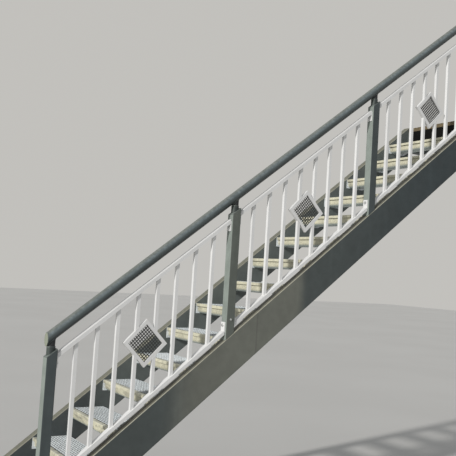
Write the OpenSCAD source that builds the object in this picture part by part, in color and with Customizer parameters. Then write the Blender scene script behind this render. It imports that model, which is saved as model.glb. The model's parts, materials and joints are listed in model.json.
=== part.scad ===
// Straight outdoor steel stair with a landing: two closed box stringers, open-grating treads,
// a balustrade of square posts, white infill panels with a perforated diamond, and a round handrail.
// Millimetres, +Z up. X runs up the flight, and the near side (the one with the balustrade) is at -Y.
// The origin is at the middle of the footprint, on the ground.

/* [Flight] */
// Height of one step
riser = 175; // [150:1:200]
// Depth of one step, from nosing to nosing
going = 223.5; // [210:0.5:280]
// Clear width between the two stringers
clear_w = 732; // [600:1:1000]

/* [Stringers and landing beams] */
// Width of the closed box section
box_w = 60; // [50:1:100]
// Depth of the box section, square to its length
box_d = 206; // [160:1:260]
// How far the top of a stringer stands above the line of the nosings
top_reveal = 8; // [2:1:20]
// How far the plumb-cut foot stands in front of the first nosing
foot_front = 40; // [20:1:60]
// Outer radius of the long corners of every box section and post
corner_r = 6; // [2:0.5:8]

/* [Treads] */
// Depth of one tread, front to back
tread_d = 236; // [232:1:300]
// Height of the nosing's upright lip
lip_h = 19; // [10:1:25]
// Height of the tread's front plate, with its curl
front_h = 64; // [50:1:75]
// Radius of the curl along the front plate's lower edge
curl_r = 30; // [15:1:34]
// How far that curl turns under, in degrees
curl_angle = 48; // [20:1:60]
// How far the end plates reach down past the front plate
end_drop = 6; // [0:1:15]
// How far the front plate is set back under the lip
front_recess = 14; // [8:1:25]
// Sheet thickness of lip, front plate and nosing
sheet_t = 3; // [2:0.5:5]
// Thickness of the tread's end plates
end_plate_t = 4; // [3:0.5:8]
// Width of the plain strip behind the nosing
nosing_w = 33; // [25:1:50]
// Height of the grating bars
bar_h = 30; // [20:1:40]
// Thickness of the grating bars
grate_t = 3; // [2:0.5:5]
// Spacing of the grating bars that span the tread
bearing_pitch = 34; // [25:1:45]
// Spacing of the cross bars in a tread's grating
cross_pitch = 34; // [25:1:80]
// Length of the bevel under the back corner of an end plate
end_bevel = 66; // [20:1:120]

/* [Landing] */
// Length of the landing
landing_len = 1115; // [900:1:1400]
// Depth of the cross beam at the top of the flight
head_beam_d = 118; // [80:1:125]
// Leg of the angles that carry the landing's grating
ledger_leg = 40; // [30:1:60]
// Thickness of those angles
ledger_t = 4; // [3:0.5:8]
// Gap round the landing's grating panels
deck_gap = 3; // [1:0.5:8]
// Spacing of the cross bars in those panels
deck_pitch = 68; // [34:1:100]

/* [Supports] */
// Side of the square columns under the landing
column_w = 80; // [60:1:120]
// Side of a base plate across the stair
plate_w = 160; // [140:1:220]
// Length of the plate under a stringer's foot
foot_plate_len = 250; // [220:1:320]
// Thickness of every base plate
plate_t = 10; // [6:1:20]
// Diameter of the anchor holes
anchor_d = 14; // [10:1:20]
// Distance of an anchor hole from the plate's edge
anchor_edge = 25; // [20:1:30]

/* [Posts and handrail] */
// Side of the square posts
post_w = 60; // [50:1:80]
// Height of the posts' tops above the nosing line
post_h = 772; // [650:1:900]
// How far the top post stands in front of the landing's edge
top_post_lead = 46.5; // [30:0.5:60]
// Outer diameter of the round handrail
rail_d = 57; // [42:0.5:70]
// Height of the handrail's axis above the posts' tops
rail_over_post = 94; // [75:1:150]
// Diameter of the stubs that carry the handrail
stub_d = 42; // [30:1:48]
// Wall of the sleeve round a stub's foot
sleeve_t = 2; // [1:0.5:4]
// Height of that sleeve above the post's top
sleeve_h = 32; // [15:1:45]
// Thickness of the flat cap on the handrail's open ends
cap_t = 3; // [2:0.5:6]

/* [Infill panels] */
// Side of the square infill bars
bar_w = 20; // [12:1:30]
// Height of the bottom rail's underside above the nosing line
panel_low = 42; // [25:1:80]
// How far the top rail's upper side is under the posts' tops
panel_drop = 27; // [10:1:60]
// Upright height of the bottom rail
low_rail_h = 25; // [15:1:40]
// Upright height of the top rail
top_rail_h = 25; // [15:1:40]
// Depth of both rails, across the panel
panel_rail_w = 40; // [20:1:44]
// Outer side of the square frame that stands on its corner
diamond = 194; // [150:1:205]
// Width of that frame's bars
diamond_bar = 20; // [12:1:26]
// Depth of that frame, across the panel
diamond_depth = 20; // [12:1:40]
// Thickness of the perforated sheet
sheet = 2; // [1:0.5:4]
// Side of the square holes in the sheet
hole = 10; // [6:0.5:10]
// Spacing of the holes
hole_pitch = 15; // [12:0.5:20]
// Least width of the sheet's plain edge round its holes
sheet_edge = 4; // [2:0.5:10]
// Thickness of the lugs that hold a panel to its posts
lug_t = 6; // [3:0.5:8]
// Width of the lugs
lug_w = 40; // [15:1:44]
// Upright length of the lugs
lug_h = 62; // [40:1:100]

/* [Hidden] */
$fn = 48;

// The flight has one node for each tread, so their number is set here
treads = 16;
flight_bays = 3;
bars = 8;
end_bars = 6;

anthracite = [0.30, 0.33, 0.34];
galvanised = [0.68, 0.70, 0.70];
white = [0.93, 0.93, 0.92];
dark_sheet = [0.33, 0.33, 0.33];

slope = riser / going;
pitch_angle = atan(slope);
box_plumb = box_d / cos(pitch_angle);
landing_x = treads * going;
landing_z = (treads + 1) * riser;
landing_end = landing_x + landing_len;
rail_h = post_h + rail_over_post;
panel_top = post_h - panel_drop;
tread_h = front_h + end_drop;
beam_top = landing_z + top_reveal;
beam_low = beam_top - box_d;
mitre_low_x = (beam_low + box_plumb - top_reveal - riser) / slope;
mitre_lean = landing_x - mitre_low_x;
deck_low = landing_z - bar_h;
deck_end = landing_end - box_w - deck_gap;
deck_mid = (landing_x + deck_end) / 2;

// The balustrade's posts stand on the near stringer, flush with both of its faces
near_y = -clear_w / 2 - box_w / 2;
far_y = -near_y;
first_post = going;
top_post = landing_x - top_post_lead;
bay = (top_post - first_post) / flight_bays;
corner_post = landing_end - post_w;
end_post_x = corner_post + post_w / 2;
rail_z = landing_z + rail_h;
rail_start = first_post + cap_t;
rail_end_y = far_y + post_w / 2 - cap_t;
flight_clear = bay - post_w;
landing_clear = corner_post - top_post - post_w;
end_clear = 2 * far_y - post_w;

foot_back = (plate_t + box_plumb - top_reveal - riser) / slope;
foot_mid = (foot_back - foot_front) / 2;
plate_front = foot_mid - foot_plate_len / 2;
column_x = landing_end - column_w / 2;
column_y = clear_w / 2 + box_w - column_w / 2;
footprint_mid = (plate_front + column_x + plate_w / 2) / 2;

// Height of the nosing line over the ground: it rises with the flight and is level on the landing
function nose(x) = x < landing_x ? riser + slope * x : landing_z;
function post_x(n) = first_post + (n - 1) * bay;

// Puts the stair's own X = 0, the first nosing, where the footprint's middle is the origin
module placed() { translate([-footprint_mid, 0, 0]) children(); }

// Extrudes an outline drawn as [x, z] to a width across the stair, centred on y
module across(width, y = 0) {
    translate([0, y + width / 2, 0]) rotate([90, 0, 0]) linear_extrude(width) children();
}

// The outline of a box section, centred on the origin, with its corners rounded
module section(size) {
    square([size[0] - 2 * corner_r, size[1]], center = true);
    square([size[0], size[1] - 2 * corner_r], center = true);
    for (i = [-1, 1], j = [-1, 1])
        translate([i * (size[0] / 2 - corner_r), j * (size[1] / 2 - corner_r)]) circle(corner_r);
}

// A stringer's section swept along +X, with its upper side at z = 0
module box_bar(length) {
    rotate([0, 90, 0]) linear_extrude(length) translate([box_d / 2, 0]) section([box_d, box_w]);
}

// A stringer from its plumb-cut foot to the mitre with the landing's side beam
module stringer(y) {
    foot_top = nose(-foot_front) + top_reveal;
    length = (landing_x + foot_front) / cos(pitch_angle);
    mitre_foot_x = mitre_low_x - mitre_lean * (beam_low - plate_t) / box_d;
    color(anthracite) intersection() {
        translate([-foot_front, y, foot_top]) rotate([0, -pitch_angle, 0]) translate([-box_d, 0, 0])
            box_bar(length + 2 * box_d);
        across(2 * box_w, y) polygon([
            [-foot_front, plate_t], [mitre_foot_x, plate_t],
            [landing_x + mitre_lean, beam_top + box_d], [-foot_front, beam_top + box_d]]);
    }
}

// The level beam that goes on from the stringer's mitre to the landing's end
module side_beam(y) {
    start = landing_x - box_d;
    color(anthracite) intersection() {
        translate([start, y, beam_top]) box_bar(landing_end - start);
        across(2 * box_w, y) polygon([
            [mitre_low_x - mitre_lean, beam_low - box_d], [landing_end + box_d, beam_low - box_d],
            [landing_end + box_d, beam_top + box_d], [landing_x + mitre_lean, beam_top + box_d]]);
    }
}

// A base plate with an anchor hole near each corner, its middle at [x, y]
module base_plate(x, y, length) {
    translate([x, y, 0]) difference() {
        translate([-length / 2, -plate_w / 2, 0]) cube([length, plate_w, plate_t]);
        for (i = [-1, 1], j = [-1, 1])
            translate([i * (length / 2 - anchor_edge), j * (plate_w / 2 - anchor_edge), -1])
                cylinder(d = anchor_d, h = plate_t + 2);
    }
}

module foot_plates() {
    color(anthracite) for (y = [near_y, far_y]) base_plate(foot_mid, y, foot_plate_len);
}

module column(side) {
    color(anthracite) {
        base_plate(column_x, side * column_y, plate_w);
        translate([column_x, side * column_y, 0]) linear_extrude(beam_low) section([column_w, column_w]);
    }
}

// A lattice in plan with a bar round its edge: size is [x, y], pitch the wished bar spacing
module lattice(size, pitch) {
    cells = [for (k = [0, 1]) max(1, round((size[k] - grate_t) / pitch[k]))];
    step = [for (k = [0, 1]) (size[k] - grate_t) / cells[k]];
    difference() {
        square(size);
        for (i = [0 : cells[0] - 1], j = [0 : cells[1] - 1])
            translate([grate_t + i * step[0], grate_t + j * step[1]])
                square([step[0] - grate_t, step[1] - grate_t]);
    }
}

// The front plate's outline as [x, z]: plumb, with its lower edge curled under
module front_outline() {
    flat = front_h - curl_r * sin(curl_angle);
    translate([0, -flat]) square([sheet_t, flat]);
    translate([curl_r, -flat]) intersection() {
        difference() {
            circle(curl_r);
            circle(curl_r - sheet_t);
        }
        polygon([[0, 0], [-2 * curl_r, 0],
            [-2 * curl_r * cos(curl_angle), -2 * curl_r * sin(curl_angle)]]);
    }
}

// One tread: grating, nosing with its upright lip, set-back front plate and two end plates
module tread(n) {
    half = clear_w / 2;
    color(galvanised) translate([(n - 1) * going, 0, n * riser]) {
        for (y = [-half, half - end_plate_t])
            across(end_plate_t, y + end_plate_t / 2) polygon([
                [0, 0], [tread_d, 0], [tread_d, -bar_h], [tread_d - end_bevel, -tread_h], [0, -tread_h]]);
        translate([0, -half, -sheet_t]) cube([nosing_w, clear_w, sheet_t]);
        translate([0, -half, -lip_h]) cube([sheet_t, clear_w, lip_h]);
        across(clear_w) translate([front_recess, 0]) front_outline();
        translate([nosing_w - grate_t, -half, -bar_h]) linear_extrude(bar_h)
            lattice([tread_d - nosing_w + grate_t, clear_w], [bearing_pitch, cross_pitch]);
    }
}

// One of the landing's two grating panels, between x0 and x1
module deck(x0, x1) {
    size = [x1 - x0, clear_w - 2 * deck_gap];
    color(galvanised) translate([x0, -clear_w / 2 + deck_gap, deck_low]) linear_extrude(bar_h)
        lattice(size, [bearing_pitch, deck_pitch]);
}

// A beam between the two side beams, its section centred on [x, z]
module cross_beam(x, z, depth) {
    color(anthracite) translate([x, -clear_w / 2, z]) rotate([-90, 0, 0])
        linear_extrude(clear_w) section([box_w, depth]);
}

module head_beam() {
    cross_beam(landing_x + box_w / 2, deck_low - head_beam_d / 2, head_beam_d);
}

module end_beam() {
    cross_beam(landing_end - box_w / 2, beam_top - box_d / 2, box_d);
}

// Three angles along the side beams and the end beam, under the landing's grating
module ledgers() {
    start = landing_x + box_w;
    run = landing_end - box_w - start;
    end_run = clear_w - 2 * ledger_leg - 2 * deck_gap;
    profile = [[0, 0], [ledger_leg, 0], [ledger_leg, -ledger_t], [ledger_t, -ledger_t],
        [ledger_t, -ledger_leg], [0, -ledger_leg]];
    color(anthracite) translate([0, 0, deck_low]) {
        for (s = [-1, 1]) scale([1, s, 1]) translate([start, clear_w / 2, 0])
            rotate([90, 0, 90]) linear_extrude(run) polygon([for (p = profile) [-p[0], p[1]]]);
        translate([landing_end - box_w, end_run / 2, 0]) rotate([90, 0, 0])
            linear_extrude(end_run) polygon([for (p = profile) [-p[0], p[1]]]);
    }
}

// A post on the near side between the beam under it and its top, which is cut along the nosing line
module post(x) {
    from = x - post_w;
    to = x + 2 * post_w;
    kink = landing_x > from && landing_x < to ? [landing_x] : [];
    xs = concat([from], kink, [to]);
    last = len(xs) - 1;
    color(anthracite) intersection() {
        translate([x + post_w / 2, near_y, 0])
            linear_extrude(landing_z + 2 * post_h) section([post_w, post_w]);
        across(2 * post_w, near_y) polygon(concat(
            [for (i = [0 : last]) [xs[i], nose(xs[i]) + top_reveal]],
            [for (i = [0 : last]) [xs[last - i], nose(xs[last - i]) + post_h]]));
    }
}

module landing_post(y) {
    color(anthracite) translate([end_post_x, y, beam_top])
        linear_extrude(post_h - top_reveal) section([post_w, post_w]);
}

// The three straight legs of the handrail, each run on past its mitres
module flight_bar() {
    length = (landing_x - first_post) / cos(pitch_angle);
    translate([landing_x, near_y, rail_z]) rotate([0, -90 - pitch_angle, 0])
        translate([0, 0, -rail_d]) cylinder(d = rail_d, h = length + 2 * rail_d);
}

module level_bar() {
    translate([landing_x - rail_d, near_y, rail_z]) rotate([0, 90, 0])
        cylinder(d = rail_d, h = end_post_x - landing_x + 2 * rail_d);
}

module end_bar() {
    translate([end_post_x, near_y - rail_d, rail_z]) rotate([-90, 0, 0])
        cylinder(d = rail_d, h = rail_end_y - near_y + rail_d);
}

// The half space on the landing's side of the mitre at the top of the flight
module past_top_mitre() {
    translate([landing_x, near_y, rail_z]) rotate([0, -pitch_angle / 2, 0])
        translate([0, -rail_d, -landing_len]) cube([2 * landing_len, 2 * rail_d, 2 * landing_len]);
}

// The half space on the wall's side of the mitre over the landing's corner
module past_corner_mitre() {
    reach = clear_w + 2 * box_w;
    translate([end_post_x, near_y, rail_z]) rotate([0, 0, 45])
        translate([0, -reach, -rail_d]) cube([reach, 2 * reach, 2 * rail_d]);
}

module flight_handrail() {
    color(anthracite) difference() {
        flight_bar();
        past_top_mitre();
        translate([rail_start - bay, near_y - rail_d, 0]) cube([bay, 2 * rail_d, rail_z]);
    }
}

module landing_handrail() {
    color(anthracite) difference() {
        intersection() {
            level_bar();
            past_top_mitre();
        }
        past_corner_mitre();
    }
}

module end_handrail() {
    color(anthracite) intersection() {
        end_bar();
        past_corner_mitre();
    }
}

// Flat caps on the handrail's two open ends: the lower one is plumb, as the tube is cut
module caps() {
    color(anthracite) {
        intersection() {
            flight_bar();
            translate([rail_start - cap_t, near_y - rail_d, 0]) cube([cap_t, 2 * rail_d, rail_z]);
        }
        translate([end_post_x, rail_end_y, rail_z]) rotate([-90, 0, 0]) cylinder(d = rail_d, h = cap_t);
    }
}

// A stub from a post's top to the underside of the handrail, with a sleeve round its foot
module stub(x, y) {
    base = nose(x) + post_h;
    sleeve_d = stub_d + 2 * sleeve_t;
    sunk = sleeve_d / 2 * slope;
    difference() {
        union() {
            translate([x, y, base - sunk]) cylinder(d = stub_d, h = rail_h - post_h + sunk);
            translate([x, y, base - sunk]) cylinder(d = sleeve_d, h = sleeve_h + sunk);
        }
        flight_bar();
        level_bar();
        end_bar();
        across(2 * (clear_w + box_w)) polygon([[0, 0], [landing_end, 0], [landing_end, landing_z + post_h],
            [landing_x, landing_z + post_h], [0, riser + post_h]]);
    }
}

module stubs() {
    color(anthracite) {
        for (n = [1 : flight_bays]) stub(post_x(n) + post_w / 2, near_y);
        stub(top_post + post_w / 2, near_y);
        for (y = [near_y, far_y]) stub(end_post_x, y);
    }
}

// The square frame on its corner and the sheet in it, drawn round the origin
module diamond_ring() {
    difference() {
        rotate(45) square(diamond, center = true);
        rotate(45) square(diamond - 2 * diamond_bar, center = true);
    }
}

module perforated() {
    side = diamond - 2 * diamond_bar;
    count = floor((side - 2 * sheet_edge + hole_pitch - hole) / hole_pitch);
    start = -(count - 1) / 2 * hole_pitch;
    rotate(45) difference() {
        square(side, center = true);
        for (i = [0 : count - 1], j = [0 : count - 1])
            translate([start + i * hole_pitch, start + j * hole_pitch]) square(hole, center = true);
    }
}

// A panel drawn as [along, up] over the nosing line: length between the posts, rise per unit of
// length, number of bars. The diamond stands between the two middle bars.
module panel(length, rise, count) {
    gap = (length - count * bar_w) / (count + 1);
    middle = [length / 2, length / 2 * rise + (panel_low + panel_top) / 2];
    across(panel_rail_w) {
        rail_strip(length, rise, panel_low, low_rail_h);
        rail_strip(length, rise, panel_top - top_rail_h, top_rail_h);
    }
    difference() {
        across(bar_w) for (i = [0 : count - 1]) {
            x = gap + i * (gap + bar_w);
            polygon([[x, x * rise + panel_low + low_rail_h / 2],
                [x + bar_w, (x + bar_w) * rise + panel_low + low_rail_h / 2],
                [x + bar_w, (x + bar_w) * rise + panel_top - top_rail_h / 2],
                [x, x * rise + panel_top - top_rail_h / 2]]);
        }
        across(2 * bar_w) translate(middle) rotate(45) square(diamond - diamond_bar, center = true);
    }
    across(diamond_depth) translate(middle) diamond_ring();
    lugs(length, rise);
}

module rail_strip(length, rise, low, height) {
    polygon([[lug_t / 2, low + rise * lug_t / 2], [length - lug_t / 2, low + rise * (length - lug_t / 2)],
        [length - lug_t / 2, low + height + rise * (length - lug_t / 2)],
        [lug_t / 2, low + height + rise * lug_t / 2]]);
}

// Upright plates that hold the ends of the rails against the posts
module lugs(length, rise) {
    for (end = [0, 1]) {
        x = end * (length - lug_t);
        base = end * length * rise;
        translate([x, -lug_w / 2, base + panel_low + low_rail_h / 2]) cube([lug_t, lug_w, lug_h]);
        translate([x, -lug_w / 2, base + panel_top - top_rail_h / 2 - lug_h]) cube([lug_t, lug_w, lug_h]);
    }
}

module flight_panel(n) {
    x = post_x(n) + post_w;
    color(white) translate([x, near_y, nose(x)]) panel(flight_clear, slope, bars);
}

module landing_panel() {
    color(white) translate([top_post + post_w, near_y, landing_z]) panel(landing_clear, 0, bars);
}

module end_panel() {
    color(white) translate([end_post_x, near_y + post_w / 2, landing_z]) rotate([0, 0, 90])
        panel(end_clear, 0, end_bars);
}

module sheets() {
    up = (panel_low + panel_top) / 2;
    color(dark_sheet) {
        for (n = [1 : flight_bays]) {
            x = post_x(n) + post_w;
            translate([x + flight_clear / 2, near_y, nose(x) + flight_clear / 2 * slope + up])
                across(sheet) perforated();
        }
        translate([top_post + post_w + landing_clear / 2, near_y, landing_z + up])
            across(sheet) perforated();
        translate([end_post_x, 0, landing_z + up]) rotate([0, 0, 90]) across(sheet) perforated();
    }
}

placed() stringer(near_y);  // near_stringer
placed() stringer(far_y);  // far_stringer
placed() foot_plates();
placed() tread(1);  // tread_01
placed() tread(2);  // tread_02
placed() tread(3);  // tread_03
placed() tread(4);  // tread_04
placed() tread(5);  // tread_05
placed() tread(6);  // tread_06
placed() tread(7);  // tread_07
placed() tread(8);  // tread_08
placed() tread(9);  // tread_09
placed() tread(10);  // tread_10
placed() tread(11);  // tread_11
placed() tread(12);  // tread_12
placed() tread(13);  // tread_13
placed() tread(14);  // tread_14
placed() tread(15);  // tread_15
placed() tread(16);  // tread_16
placed() side_beam(near_y);  // landing_near_beam
placed() side_beam(far_y);  // landing_far_beam
placed() head_beam();  // landing_head_beam
placed() end_beam();  // landing_end_beam
placed() ledgers();  // grating_ledgers
placed() deck(landing_x, deck_mid - deck_gap / 2);  // landing_grating_front
placed() deck(deck_mid + deck_gap / 2, deck_end);  // landing_grating_back
placed() column(-1);  // near_column
placed() column(1);  // far_column
placed() post(post_x(1));  // post_1
placed() post(post_x(2));  // post_2
placed() post(post_x(3));  // post_3
placed() post(top_post);  // post_4
placed() landing_post(near_y);  // landing_corner_post
placed() landing_post(far_y);  // landing_wall_post
placed() flight_handrail();
placed() landing_handrail();
placed() end_handrail();
placed() stubs();  // handrail_stubs
placed() caps();  // handrail_caps
placed() flight_panel(1);  // flight_panel_1
placed() flight_panel(2);  // flight_panel_2
placed() flight_panel(3);  // flight_panel_3
placed() landing_panel();
placed() end_panel();
placed() sheets();  // perforated_sheets
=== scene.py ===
import json
import math

import bmesh
import bpy
from mathutils import Matrix, Vector


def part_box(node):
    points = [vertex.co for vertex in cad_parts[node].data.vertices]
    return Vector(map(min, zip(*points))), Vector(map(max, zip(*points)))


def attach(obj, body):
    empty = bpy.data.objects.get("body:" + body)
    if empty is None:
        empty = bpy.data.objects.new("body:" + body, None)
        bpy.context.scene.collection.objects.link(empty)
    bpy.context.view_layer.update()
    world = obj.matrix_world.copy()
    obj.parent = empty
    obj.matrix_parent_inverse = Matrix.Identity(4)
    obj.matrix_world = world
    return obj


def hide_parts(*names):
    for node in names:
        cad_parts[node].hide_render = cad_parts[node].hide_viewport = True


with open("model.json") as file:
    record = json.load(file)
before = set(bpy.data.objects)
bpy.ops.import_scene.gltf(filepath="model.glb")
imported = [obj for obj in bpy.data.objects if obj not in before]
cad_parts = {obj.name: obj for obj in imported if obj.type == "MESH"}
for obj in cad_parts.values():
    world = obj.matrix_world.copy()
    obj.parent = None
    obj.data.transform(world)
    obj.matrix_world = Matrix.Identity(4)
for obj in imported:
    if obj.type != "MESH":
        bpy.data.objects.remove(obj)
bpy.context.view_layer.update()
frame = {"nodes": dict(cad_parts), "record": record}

BODY = "root"

# Sizes of the stair that the detailed pieces share with the frame, in metres
RISER = 0.175
GOING = 0.2235
SLOPE = RISER / GOING
PITCH = math.atan(SLOPE)
TREADS = 16
FIRST_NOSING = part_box("tread_01")[0].x
LANDING_X = FIRST_NOSING + TREADS * GOING
LANDING_Z = (TREADS + 1) * RISER
LANDING_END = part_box("landing_end_beam")[1].x
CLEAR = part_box("tread_01")[1].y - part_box("tread_01")[0].y
TREAD_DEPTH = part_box("tread_01")[1].x - FIRST_NOSING
TREAD_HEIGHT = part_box("tread_01")[1].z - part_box("tread_01")[0].z
BOX_WIDTH = 0.060
BOX_DEPTH = 0.206
BOX_CORNER = 0.006
HEAD_BEAM_DEPTH = 0.118
TOP_REVEAL = 0.008
FOOT_FRONT = 0.040
NEAR_Y = -CLEAR / 2 - BOX_WIDTH / 2
FAR_Y = -NEAR_Y
BEAM_TOP = LANDING_Z + TOP_REVEAL
BEAM_LOW = BEAM_TOP - BOX_DEPTH
POST = 0.060
POST_HEIGHT = 0.772
POSTS = [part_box(f"post_{number}")[0].x for number in (1, 2, 3, 4)]
END_POST_X = LANDING_END - POST / 2
COLUMN = 0.080
COLUMN_X = LANDING_END - COLUMN / 2
COLUMN_Y = CLEAR / 2 + BOX_WIDTH - COLUMN / 2
FOOT_X = sum(corner.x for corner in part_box("foot_plates")) / 2
FOOT_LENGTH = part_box("foot_plates")[1].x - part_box("foot_plates")[0].x
PLATE_WIDTH = 0.160
PLATE = 0.010
ANCHOR_EDGE = 0.025
FOOT_CORNER = 0.002
RAIL_RADIUS = 0.0285
RAIL_HEIGHT = 0.866
RAIL_AXIS = LANDING_Z + RAIL_HEIGHT
STUB_RADIUS = 0.021
SLEEVE_RADIUS = 0.023
SLEEVE_HEIGHT = 0.032
CAP = 0.003

# The infill panels, with heights over the nosing line
PANEL_LOW = 0.042
PANEL_TOP = 0.745
PANEL_RAIL = 0.025
BAR = 0.020
BARS = 8
END_BARS = 6
DIAMOND = 0.194
LUG = 0.006
LOW_SCREW = 0.097
HIGH_SCREW = 0.695
SMALL_BOLT_HEIGHT = 0.110

# The tread's own pieces, as in the frame
END_PLATE = 0.004
PLATE_FACE = CLEAR / 2 - END_PLATE
END_BEVEL = 0.066
SHEET = 0.003
BEND = SHEET * 1.5
TUCKED_IN = SHEET * 0.25
LIP = 0.019
FRONT_RECESS = 0.014
FRONT_HEIGHT = 0.070
CURL_RADIUS = 0.028
FLANGE = 0.055
NOSING = 0.033
GRATING_HEIGHT = 0.030
TREAD_BOLTS = (0.075, 0.155)
TREAD_BOLT_DROP = 0.049

# The grating's real mesh, which the frame holds only coarsely
BEARING_PITCH = 0.018
CROSS_PITCH = 0.036
BEARING_BAR = 0.0035
CROSS_BAR = 0.0035
CROSS_HEIGHT = 0.010
RIM = 0.003

# Fasteners, by the diameter of their threads, and the turns that show of an anchor's thread
TREAD_BOLT = 0.012
LUG_SCREW = 0.010
SMALL_BOLT = 0.007
ANCHOR = 0.012
THREAD_PITCH = 0.00175
THREAD_TURNS = 6

# A fastener's parts as shares of the diameter of its thread
WASHER_THICKNESS = 0.2
HEAD_HEIGHT = 0.62
NUT_HEIGHT = 0.85
HEXAGON_RADIUS = 0.866
THREAD_ROOT = 0.43
THREAD_CREST = 0.5

# Weld beads, by radius, with the length of a ripple and its thickest and thinnest place
BEAD = 0.003
CORNER_BEAD = BEAD * 1.4
RAIL_BEAD = BEAD * 0.6
SEAM_BEAD = BEAD * 0.5
PANEL_BEAD = 0.002
CROSSING_BEAD = PANEL_BEAD * 0.7
RIPPLE = 0.005
THICK = 1.12
THIN = 0.90

# Edges sharper than these angles stay sharp, on pieces in general and on weld beads
SHARP = math.radians(35)
SHARP_BEAD = math.radians(60)

# The photograph's camera, measured from the first nosing: place, yaw and pitch of the view, roll
CAMERA_PLACE = Vector((-1.0987, -4.2550, 1.6206))
CAMERA_YAW = math.radians(32.010)
CAMERA_PITCH = math.radians(3.538)
CAMERA_ROLL = math.radians(3.591)
FOCAL_PX = 744.2
PHOTO_PX = 456
SENSOR_MM = 36.0
FAR_CLIP = 60

# The sunlight, with its way measured from the shadows in the photograph, and the light round it
SUN_WAY = Vector((2.61, 1.0, -1.08))
SUN_STRENGTH = 2.5
SUN_SPREAD = math.radians(2.5)
SUN_COLOUR = (1.0, 0.98, 0.95)
SKY_COLOUR = (0.94, 0.97, 1, 1)
SKY_STRENGTH = 0.34
BACKDROP_COLOUR = (0.54, 0.53, 0.505, 1)
BACKDROP_STRENGTH = 1.0
FLOOR_HALF = 40
FLOOR_ROUGHNESS = 0.95

# Where along the stair the look of the stringers changes: each pair is the start and the end of a fade.
# The near stringer's side is lighter grey along one stretch, a painted patch of sunlight, and a thin dark
# line crosses it.
LIT_STRETCH_START = FIRST_NOSING + 0.97
LIT_STRETCH_END = FIRST_NOSING + 1.89
LIT_STRETCH_IN = (LIT_STRETCH_START - 0.07, LIT_STRETCH_START + 0.20)
LIT_STRETCH_OUT = (LIT_STRETCH_END + 0.045, LIT_STRETCH_END - 0.045)
DARKER_UPHILL = (LIT_STRETCH_END, LIT_STRETCH_END + 1.3)
# The top of the near stringer is darker downhill of this fade: painted shade of the bottom rail.
TOP_SHADED_DOWNHILL = (LIT_STRETCH_START - 0.30, LIT_STRETCH_START + 0.25)
FAR_SIDE_LIGHTER = (LIT_STRETCH_START - 0.25, LIT_STRETCH_START + 0.10)
DARK_LINE_X = FIRST_NOSING + 1.553
DARK_LINE_HALF = 0.009

# Fades on the treads: darkening by their end plates, stains near the ground, painted shade deep in the
# mesh, and the brown along the landing's front edge
END_DARKENING = (0.065, 0.020)
NEAR_GROUND = (0.95, 0.70)
MESH_SHADE_DEPTH = (RISER - 0.007, RISER - 0.003)
BROWN_BEFORE = (LANDING_X - 0.006, LANDING_X - 0.002)
BROWN_BEHIND = (LANDING_X + 0.010, LANDING_X + 0.004)

# Noise lies mostly between two values. The roughness of paint varies this much either way, and the
# shaded head beam reflects at this level, where 0.5 is usual.
NOISE_RANGE = (0.3, 0.7)
NOISE_ROUGHNESS = 0.55
UNEVEN_GLOSS = 0.08
SHADED_BEAM_GLOSS = 0.1

# Signs of the corners of a square in turn, the corners of each face of a box, and the distance under
# which two points are one
SQUARE = ((-1, -1), (1, -1), (1, 1), (-1, 1))
BOX_FACES = ((0, 1, 3, 2), (4, 6, 7, 5), (0, 4, 5, 1), (2, 3, 7, 6), (0, 2, 6, 4), (1, 5, 7, 3))
SAME_POINT = 0.00001


def make_camera():
    """The photograph's camera, so that the main render lies over the photograph."""
    data = bpy.data.cameras.new("camera")
    camera = bpy.data.objects.new("camera", data)
    bpy.context.scene.collection.objects.link(camera)
    bpy.context.scene.camera = camera
    data.sensor_width = SENSOR_MM
    data.lens = FOCAL_PX * SENSOR_MM / PHOTO_PX
    data.clip_end = FAR_CLIP
    forward = Vector((math.sin(CAMERA_YAW) * math.cos(CAMERA_PITCH),
                      math.cos(CAMERA_YAW) * math.cos(CAMERA_PITCH), math.sin(CAMERA_PITCH)))
    level = Vector((math.cos(CAMERA_YAW), -math.sin(CAMERA_YAW), 0))
    upright = level.cross(forward)
    right = math.cos(CAMERA_ROLL) * level + math.sin(CAMERA_ROLL) * upright
    up = math.cos(CAMERA_ROLL) * upright - math.sin(CAMERA_ROLL) * level
    axes = Matrix((right, up, -forward)).transposed()
    camera.matrix_world = Matrix.Translation(CAMERA_PLACE + Vector((FIRST_NOSING, 0, 0))) @ axes.to_4x4()


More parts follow.
